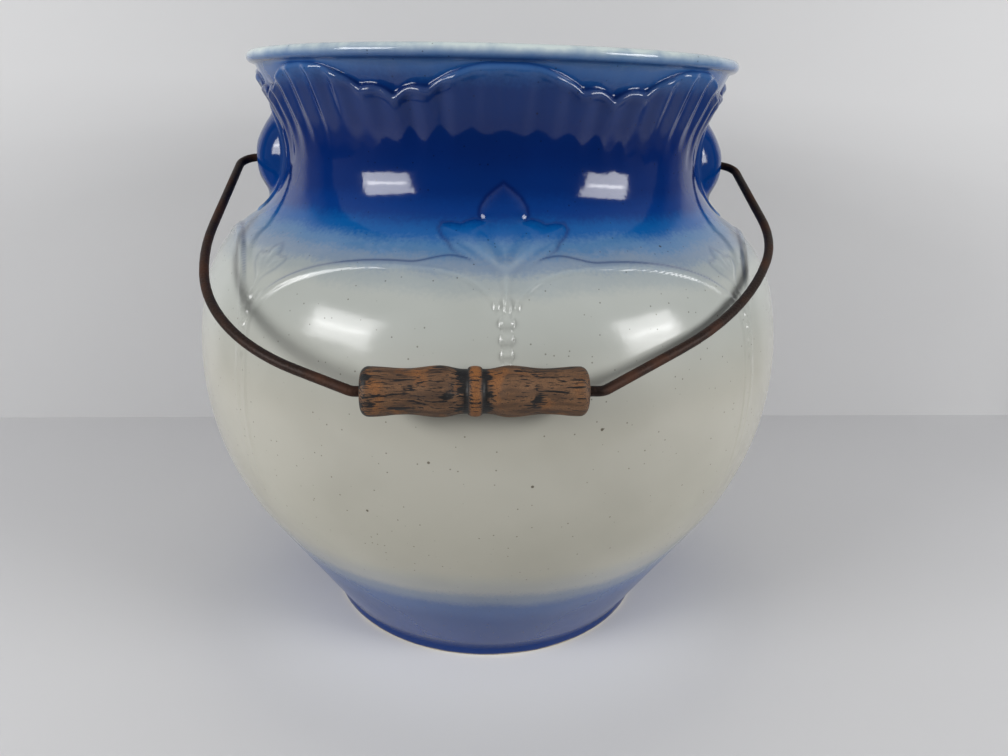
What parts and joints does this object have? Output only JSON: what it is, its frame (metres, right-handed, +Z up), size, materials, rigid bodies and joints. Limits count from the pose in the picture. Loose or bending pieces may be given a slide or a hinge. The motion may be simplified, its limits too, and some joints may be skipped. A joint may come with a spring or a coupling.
{
  "type": "slop jar",
  "caption": "Round glazed stoneware jar with a fluted petal collar under a rolled rim, and ears on the neck that carry a swinging wire bail with a turned wooden grip.",
  "frame": {"origin": "centre of the flat foot on which the jar stands", "axes": "+Z up the jar's axis, +X towards the right ear, -Y towards the front, where the bail hangs"},
  "size_m": [0.3078, 0.3241, 0.2945],
  "materials": {
    "glaze": "gloss",
    "ear_glaze": "gloss",
    "iron": "rusted",
    "wood": "worn, unvarnished"
  },
  "bodies": {
    "jar": {"jar_body": "glaze", "ear_left": "ear_glaze", "ear_right": "ear_glaze"},
    "bail": {"bail_wire": "iron"},
    "grip": {"grip": "wood"}
  },
  "joints": [
    {"name": "bail_swing", "type": "hinge", "parent": "jar", "child": "bail", "pos_m": [0, 0, 0.24474], "axis": [-1, 0, 0], "range_deg": [0, 226.34]},
    {"name": "grip_spin", "type": "hinge", "parent": "bail", "child": "grip", "pos_m": [-0.01204, -0.16089, 0.17588], "axis": [1, 0, 0], "continuous": true}
  ]
}
